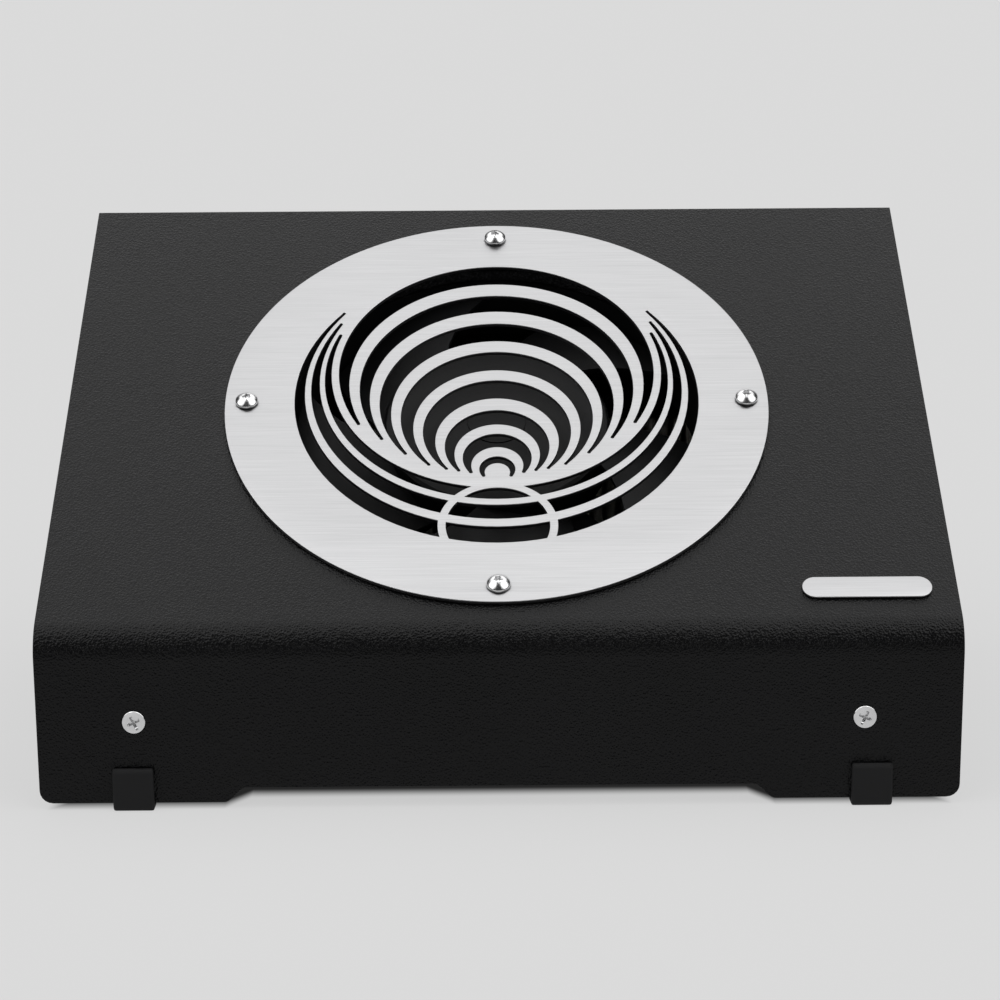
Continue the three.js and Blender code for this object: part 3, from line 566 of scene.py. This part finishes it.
def slot_outline(outer, inner, tip_x, tip_y):
    """A crescent with rounded tips."""
    outer_x = tip_x + SLOT_TIP
    inner_x = tip_x - SLOT_TIP
    big, big_y = circle_on_axis(outer, outer_x, tip_y)
    small, small_y = circle_on_axis(inner, inner_x, tip_y)
    outer_start = math.atan2(tip_y - big_y, outer_x)
    inner_start = math.atan2(tip_y - small_y, inner_x)
    right_tip = arc_at(tip_x, tip_y, SLOT_TIP, -math.pi, 0, 6)[1:-1]
    left_tip = [(-x, y) for x, y in reversed(right_tip)]
    bow_out = arc_at(0, big_y, big, outer_start, math.pi - outer_start, SLOT_STEPS)
    bow_in = arc_at(0, small_y, small, math.pi - inner_start, inner_start, SLOT_STEPS)
    return [*bow_out, *left_tip, *bow_in, *right_tip]


def clipped(outline, centre_y, radius, keep_inside):
    """The parts of an outline on one side of a circle, closed along the circle itself."""
    def kept(point):
        return (math.hypot(point[0], point[1] - centre_y) < radius) == keep_inside

    def crossing(a, b):
        for _ in range(30):
            middle = ((a[0] + b[0]) / 2, (a[1] + b[1]) / 2)
            if kept(middle) == kept(a):
                a = middle
            else:
                b = middle
        return a

    count = len(outline)
    starts = [i for i in range(count) if kept(outline[i]) and not kept(outline[i - 1])]
    if not starts:
        return [outline] if kept(outline[0]) else []
    runs = []
    for start in starts:
        run = [crossing(outline[start - 1], outline[start])]
        i = start
        while kept(outline[i % count]):
            run.append(outline[i % count])
            i += 1
        run.append(crossing(outline[i % count], outline[(i - 1) % count]))
        runs.append(run)
    loops = []
    while runs:
        loop = list(runs.pop(0))
        while True:
            ends = [loop] + runs
            nearest = min(ends, key=lambda run: math.dist(run[0], loop[-1]))
            from_angle = math.atan2(loop[-1][1] - centre_y, loop[-1][0])
            to_angle = math.atan2(nearest[0][1] - centre_y, nearest[0][0])
            turn = (to_angle - from_angle + math.pi) % (2 * math.pi) - math.pi
            loop += arc_at(0, centre_y, radius, from_angle, from_angle + turn, 16)[1:-1]
            if nearest is loop:
                break
            runs.remove(nearest)
            loop += nearest
        loops.append(loop)
    return loops


def circle(x, y, radius, steps):
    """A closed circle of points about (x, y)."""
    return arc_at(x, y, radius, 0, 2 * math.pi, steps)[:-1]


def plate_mesh(name, outlines, thickness, edge):
    """A flat plate from closed outlines in millimetres, holes included, with rounded edges."""
    curve = bpy.data.curves.new(name, "CURVE")
    curve.dimensions = "2D"
    curve.fill_mode = "BOTH"
    curve.extrude = (thickness / 2 - edge) * MM
    curve.bevel_depth = edge * MM
    curve.bevel_resolution = 2
    curve.offset = -edge * MM
    for outline in outlines:
        spline = curve.splines.new("POLY")
        spline.points.add(len(outline) - 1)
        spline.use_cyclic_u = True
        for point, (x, y) in zip(spline.points, outline):
            point.co = (x * MM, y * MM, 0, 1)
    holder = bpy.data.objects.new(name, curve)
    bpy.context.scene.collection.objects.link(holder)
    bpy.context.view_layer.update()
    graph = bpy.context.evaluated_depsgraph_get()
    mesh = bpy.data.meshes.new_from_object(holder.evaluated_get(graph))
    bpy.data.objects.remove(holder)
    return mesh


def flat_uv(mesh):
    """A UV map with U along X, so that brushed steel knows which way it was brushed."""
    layer = mesh.uv_layers.new(name="UVMap")
    for loop in mesh.loops:
        point = mesh.vertices[loop.vertex_index].co
        layer.data[loop.index].uv = (point.x * 4 + 0.5, point.y * 4 + 0.5)


def smooth_plate(mesh):
    """Rounded edges shaded smoothly, with the faces left flat."""
    work = bmesh.new()
    work.from_mesh(mesh)
    bmesh.ops.remove_doubles(work, verts=work.verts, dist=0.001 * MM)
    work.to_mesh(mesh)
    work.free()
    mesh.polygons.foreach_set("use_smooth", [True] * len(mesh.polygons))
    mesh.set_sharp_from_angle(angle=math.radians(40))


def on_slope(mesh, centre):
    """Turns a flat mesh to the sloping top and puts it at its centre."""
    mesh.transform(Matrix.Translation(centre) @ Matrix.Rotation(SLOPE, 4, "X"))


def grille_plate():
    """The intake grille: the round plate with its crescent slots, its strut and its screw holes."""
    outlines = [circle(0, 0, PLATE_RADIUS, 192)]
    outlines += [slot_outline(*slot) for slot in UPPER_SLOTS]
    for slot in LOWER_SLOTS:
        outline = [(x, -y) for x, y in slot_outline(*slot)]
        outlines += clipped(outline, STRUT_Y, STRUT_OUTER, keep_inside=False)
        outlines += clipped(outline, STRUT_Y, STRUT_INNER, keep_inside=True)
    for x, y in ((1, 0), (0, 1), (-1, 0), (0, -1)):
        outlines.append(circle(x * SCREW_CIRCLE, y * SCREW_CIRCLE, PLATE_HOLE, 24))
    mesh = plate_mesh("intake_grille", outlines, PLATE_THICKNESS, PLATE_EDGE)
    smooth_plate(mesh)
    flat_uv(mesh)
    on_slope(mesh, centre_of("grille_plate"))
    finished("intake_grille", mesh, "brushed_steel", "housing", "grille_plate")


def stadium(width, height, steps):
    """A bar with half-round ends."""
    radius = height / 2
    reach = width / 2 - radius
    points = []
    for side in (1, -1):
        for i in range(steps + 1):
            angle = -math.pi / 2 + math.pi * i / steps
            points.append((side * (reach + radius * math.cos(angle)), side * radius * math.sin(angle)))
    return points


def badge():
    """The pill-shaped badge, left blank."""
    low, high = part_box("badge")
    width = (high.x - low.x) / MM
    height = ((high.y - low.y) / MM - BADGE_THICKNESS * math.sin(SLOPE)) / math.cos(SLOPE)
    mesh = plate_mesh("blank_badge", [stadium(width, height, 20)], BADGE_THICKNESS, BADGE_EDGE)
    smooth_plate(mesh)
    flat_uv(mesh)
    on_slope(mesh, centre_of("badge"))
    finished("blank_badge", mesh, "brushed_steel", "housing", "badge")


def ringed(rings):
    """A solid from rings of equally many points, capped at both ends."""
    work = bmesh.new()
    made = [[work.verts.new(Vector(point) * MM) for point in ring] for ring in rings]
    count = len(made[0])
    for lower, upper in zip(made, made[1:]):
        for i in range(count):
            j = (i + 1) % count
            work.faces.new((lower[i], lower[j], upper[j], upper[i]))
    work.faces.new(list(reversed(made[0])))
    work.faces.new(made[-1])
    bmesh.ops.recalc_face_normals(work, faces=work.faces)
    mesh = bpy.data.meshes.new("ringed")
    work.to_mesh(mesh)
    work.free()
    mesh.polygons.foreach_set("use_smooth", [True] * len(mesh.polygons))
    mesh.set_sharp_from_angle(angle=math.radians(38))
    return mesh


def ring_of(shape, height, grow=1.0):
    """One ring of points: shape gives the radius at each angle."""
    points = []
    for i in range(ROUND_STEPS):
        angle = 2 * math.pi * i / ROUND_STEPS
        radius = shape(angle) * grow
        points.append((radius * math.cos(angle), radius * math.sin(angle), height))
    return points


def round_shape(radius):
    """A circle as a radius for each angle."""
    return lambda angle: radius


def hexagon_shape(across_flats):
    """A hexagon as a radius for each angle."""
    def radius(angle):
        within = (angle + math.pi / 6) % (math.pi / 3) - math.pi / 6
        return across_flats / 2 / math.cos(within)
    return radius


def cross_shape(reach, half):
    """A cross of two bars as a radius for each angle."""
    def radius(angle):
        c = max(abs(math.cos(angle)), 1e-6)
        s = max(abs(math.sin(angle)), 1e-6)
        return max(min(reach / c, half / s), min(half / c, reach / s))
    return radius


def button_screw():
    """A button-head screw with a hexagon socket; height 0 is under its head."""
    ball = (BUTTON_RADIUS ** 2 + (BUTTON_HEIGHT - BUTTON_RIM) ** 2) / (2 * (BUTTON_HEIGHT - BUTTON_RIM))

    def dome(radius):
        return BUTTON_HEIGHT - ball + math.sqrt(ball ** 2 - radius ** 2)

    rings = [
        ring_of(round_shape(M4_SHANK - 0.5), -BUTTON_LENGTH),
        ring_of(round_shape(M4_SHANK), -BUTTON_LENGTH + 0.5),
        ring_of(round_shape(M4_SHANK), 0),
        ring_of(round_shape(BUTTON_RADIUS - 0.12), 0),
        ring_of(round_shape(BUTTON_RADIUS), 0.12),
        ring_of(round_shape(BUTTON_RADIUS), BUTTON_RIM - 0.1),
    ]
    for radius in (3.82, 3.6, 3.3, 2.9, 2.4, 2.0, 1.7):
        rings.append(ring_of(round_shape(radius), dome(radius)))
    socket = hexagon_shape(SOCKET)
    rings.append(ring_of(socket, dome(SOCKET / 2) - 0.02, 1.1))
    rings.append(ring_of(socket, dome(SOCKET / 2) - 0.15, 1.0))
    rings.append(ring_of(socket, BUTTON_HEIGHT - SOCKET_DEPTH, 1.0))
    rings.append(ring_of(round_shape(0.2), BUTTON_HEIGHT - SOCKET_DEPTH - SOCKET_TIP))
    return ringed(rings)


def flat_screw():
    """A countersunk screw with a cross recess; height 0 is its flat face."""
    cross = cross_shape(CROSS_REACH, CROSS_HALF)
    cone = FLAT_HEAD_RADIUS - M4_SHANK
    rings = [
        ring_of(round_shape(M4_SHANK - 0.4), -FLAT_LENGTH),
        ring_of(round_shape(M4_SHANK), -FLAT_LENGTH + 0.4),
        ring_of(round_shape(M4_SHANK), -cone - 0.2),
        ring_of(round_shape(FLAT_HEAD_RADIUS), -0.2),
        ring_of(round_shape(FLAT_HEAD_RADIUS), -0.12),
        ring_of(round_shape(FLAT_HEAD_RADIUS - 0.12), 0),
        ring_of(cross, 0, 1.05),
        ring_of(cross, -0.1, 0.97),
        ring_of(cross, -CROSS_DEPTH, 0.72),
        ring_of(round_shape(0.15), -CROSS_DEPTH - SOCKET_TIP),
    ]
    return ringed(rings)


def grille_screws():
    """The button-head screws round the grille, each about the middle of its CAD node."""
    normal = Vector((0, -math.sin(SLOPE), math.cos(SLOPE)))
    above_middle = (BUTTON_LENGTH - BUTTON_HEIGHT) / 2
    for side, turn in BUTTON_TURNS.items():
        mesh = button_screw()
        mesh.transform(Matrix.Rotation(turn, 4, "Z"))
        on_slope(mesh, centre_of("grille_screw_" + side) + normal * above_middle * MM)
        finished("button_screw_" + side, mesh, "polished_steel", "housing", "grille_screw_" + side)


def front_screws():
    """The countersunk screws in the front, each with its face where its CAD node's face is."""
    for side, turn in CROSS_TURNS.items():
        low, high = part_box("front_screw_" + side)
        mesh = flat_screw()
        mesh.transform(Matrix.Rotation(turn, 4, "Z"))
        middle = (low + high) / 2
        seat = Vector((middle.x, low.y, middle.z))
        mesh.transform(Matrix.Translation(seat) @ Matrix.Rotation(math.pi / 2, 4, "X"))
        finished("cross_screw_" + side, mesh, "polished_steel", "housing", "front_screw_" + side)


# ---------------------------------------------------------------- soft pieces
def soft_copy(name, node, voxel, finish, body):
    """A foam piece: the node's shape remeshed, relaxed and roughened by its pores."""
    source = NODES[node]
    mesh = source.data.copy()
    piece = bpy.data.objects.new(name + "_work", mesh)
    bpy.context.scene.collection.objects.link(piece)
    weld = piece.modifiers.new("weld", "WELD")
    weld.merge_threshold = 0.002 * MM
    remesh = piece.modifiers.new("remesh", "REMESH")
    remesh.mode = "VOXEL"
    remesh.voxel_size = voxel * MM
    relax = piece.modifiers.new("relax", "SMOOTH")
    relax.iterations = 3
    relax.factor = 0.5
    texture = bpy.data.textures.new(name + "_pores", "CLOUDS")
    texture.noise_scale = 1.6 * MM
    pores = piece.modifiers.new("pores", "DISPLACE")
    pores.texture = texture
    pores.texture_coords = "LOCAL"
    pores.strength = 0.3 * MM
    pores.mid_level = 0.6
    bpy.context.view_layer.update()
    graph = bpy.context.evaluated_depsgraph_get()
    result = bpy.data.meshes.new_from_object(piece.evaluated_get(graph))
    bpy.data.objects.remove(piece)
    result.polygons.foreach_set("use_smooth", [True] * len(result.polygons))
    made = finished(name, result, finish, body, node)
    return made


def pleated_filter():
    """The filter paper as one long strip folded to and fro, in the place of its CAD node."""
    low, high = [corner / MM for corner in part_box("filter_media")]
    sides = 2 * PLEATS + 1
    half = PAPER_THICKNESS / 2
    bend = (high.x - low.x - PAPER_THICKNESS) / (4 * PLEATS)
    near = low.y + half + bend
    far = high.y - half - bend
    path = []
    for k in range(sides):
        x = low.x + half + 2 * bend * k
        rising = 1 if k % 2 == 0 else -1
        start, end = (near, far) if rising == 1 else (far, near)
        path += [((x, start), (-rising, 0)), ((x, end), (-rising, 0))]
        if k < sides - 1:
            for i in range(1, FOLD_STEPS):
                angle = math.pi * (1 - i / FOLD_STEPS)
                out_x = math.cos(angle)
                out_y = rising * math.sin(angle)
                point = (x + bend + bend * out_x, end + bend * out_y)
                path.append((point, (rising * out_x, rising * out_y)))
    rings = []
    for (x, y), (away_x, away_y) in path:
        left = (x + half * away_x, y + half * away_y)
        right = (x - half * away_x, y - half * away_y)
        rings.append([(*left, low.z), (*right, low.z), (*right, high.z), (*left, high.z)])
    piece = finished("pleated_filter", ringed(rings), "filter_paper", "filter_cassette", "filter_media")


# ---------------------------------------------------------------- studio
def studio_world():
    """A bright ceiling, two softboxes at the front corners and a dim room; the camera sees a pale one."""
    world = bpy.data.worlds.new("studio")
    bpy.context.scene.world = world
    world.use_nodes = True
    tree = world.node_tree
    tree.nodes.clear()
    direction = add_node(tree, "TexCoord").outputs["Generated"]

    def patch(azimuth, elevation, reach, edge, strength):
        """A round patch of light; azimuth 0 is the front, 90 the right, and the rest is in degrees."""
        a = math.radians(azimuth)
        e = math.radians(elevation)
        aim = (math.sin(a) * math.cos(e), -math.cos(a) * math.cos(e), math.sin(e))
        near = add_node(tree, "VectorMath", {0: direction, 1: aim}, operation="DOT_PRODUCT")
        glow = add_node(tree, "MapRange", {
            "Value": near.outputs["Value"],
            "From Min": math.cos(math.radians(reach + edge)),
            "From Max": math.cos(math.radians(reach)),
            "To Max": strength,
        }, interpolation_type="SMOOTHSTEP")
        return glow.outputs["Result"]

    total = patch(180, CEILING["elevation"], CEILING["reach"], CEILING["edge"], CEILING["strength"])
    for azimuth in (-SOFTBOX["azimuth"], SOFTBOX["azimuth"]):
        light = patch(azimuth, SOFTBOX["elevation"], SOFTBOX["reach"], SOFTBOX["edge"], SOFTBOX["strength"])
        total = add_node(tree, "Math", {0: total, 1: light}, operation="ADD").outputs[0]
    total = add_node(tree, "Math", {0: total, 1: ROOM}, operation="ADD").outputs[0]
    lit = add_node(tree, "Background", {"Color": (1, 1, 1, 1), "Strength": total})
    seen = add_node(tree, "Background", {"Color": (1, 1, 1, 1), "Strength": BACKDROP})
    mix = add_node(tree, "MixShader", {
        "Fac": add_node(tree, "LightPath").outputs["Is Camera Ray"],
        1: lit.outputs[0],
        2: seen.outputs[0],
    })
    add_node(tree, "OutputWorld", {"Surface": mix.outputs[0]})


def studio_floor():
    """A plain pale floor that glows like a light table, with a soft shadow painted under the object."""
    mesh = bpy.data.meshes.new("floor")
    corners = [(x * FLOOR_HALF, y * FLOOR_HALF, 0) for x, y in ((-1, -1), (1, -1), (1, 1), (-1, 1))]
    mesh.from_pydata(corners, [], [(0, 1, 2, 3)])
    floor = bpy.data.objects.new("floor", mesh)
    bpy.context.scene.collection.objects.link(floor)
    material, shader = new_material("floor")
    tree = material.node_tree
    # Painted shade: where a point lies under the object, the floor gets a darker base colour and a weaker
    # glow.
    low, high = CAD_BOX
    spot = add_node(tree, "SeparateXYZ", {0: place(tree)})
    sideways = add_node(tree, "Math", {0: spot.outputs["X"]}, operation="ABSOLUTE").outputs[0]
    past_side = add_node(tree, "Math", {0: sideways, 1: high.x}, operation="SUBTRACT").outputs[0]
    past_front = add_node(tree, "Math", {0: low.y, 1: spot.outputs["Y"]}, operation="SUBTRACT").outputs[0]
    past_back = add_node(tree, "Math", {0: spot.outputs["Y"], 1: high.y}, operation="SUBTRACT").outputs[0]
    past = add_node(tree, "Math", {0: past_front, 1: past_back}, operation="MAXIMUM").outputs[0]
    past = add_node(tree, "Math", {0: past, 1: past_side}, operation="MAXIMUM").outputs[0]
    painted_shade_shift = spread(tree, sideways, 0, LEG_SHADE * MM, LEGS[0] * MM, LEGS[1] * MM)
    past = add_node(tree, "Math", {0: past, 1: painted_shade_shift}, operation="SUBTRACT").outputs[0]
    outside_painted_shade = add_node(tree, "MapRange", {
        "Value": past,
        "From Min": -SHADE_DEEP * MM,
        "From Max": -SHADE_START * MM,
    }, interpolation_type="SMOOTHSTEP").outputs["Result"]
    # The painted shadow goes into the floor's base colour and its glow.
    connect(
        tree, shader,
        Base_Color=blend_colours(tree, outside_painted_shade, (SHADE_ALBEDO,) * 3, (FLOOR_ALBEDO,) * 3),
        Emission_Strength=spread(tree, outside_painted_shade, SHADE_GLOW, FLOOR_GLOW, 0, 1),
    )
    set_values(
        shader,
        Roughness=0.9,
        Specular_IOR_Level=0.0,
        Emission_Color=(1, 1, 1, 1),
    )
    mesh.materials.append(material)


def studio_camera():
    """The camera at its place, looking along +Y, then turned by its yaw, pitch and roll."""
    camera = bpy.data.cameras.new("camera")
    holder = bpy.data.objects.new("camera", camera)
    bpy.context.scene.collection.objects.link(holder)
    camera.sensor_width = 36
    camera.lens = CAMERA["lens"]
    camera.clip_start = 0.02
    camera.clip_end = 200
    yaw = Matrix.Rotation(math.radians(CAMERA["yaw"]), 3, "Z")
    pitch = Matrix.Rotation(-math.radians(CAMERA["pitch"]), 3, "X")
    level = yaw @ pitch
    roll = math.radians(CAMERA["roll"])
    right = level @ Vector((1, 0, 0))
    ahead = level @ Vector((0, 1, 0))
    up = level @ Vector((0, 0, 1))
    turned_right = math.cos(roll) * right + math.sin(roll) * up
    turned_up = math.cos(roll) * up - math.sin(roll) * right
    axes = Matrix((turned_right, turned_up, -ahead)).transposed()
    holder.matrix_world = Matrix.Translation(Vector(CAMERA["place"]) * MM) @ axes.to_4x4()
    bpy.context.scene.camera = holder


studio_camera()
studio_world()
studio_floor()
grille_plate()
badge()
grille_screws()
front_screws()
soft_copy("fan_seal", "fan_gasket", 1.2, "foam", "housing")
soft_copy("filter_seal", "filter_gasket", 0.6, "foam", "filter_cassette")
soft_copy("carbon_foam", "carbon_pad", 1.6, "carbon", "filter_cassette")
pleated_filter()
dress_nodes()
bpy.context.scene.view_settings.view_transform = "Standard"
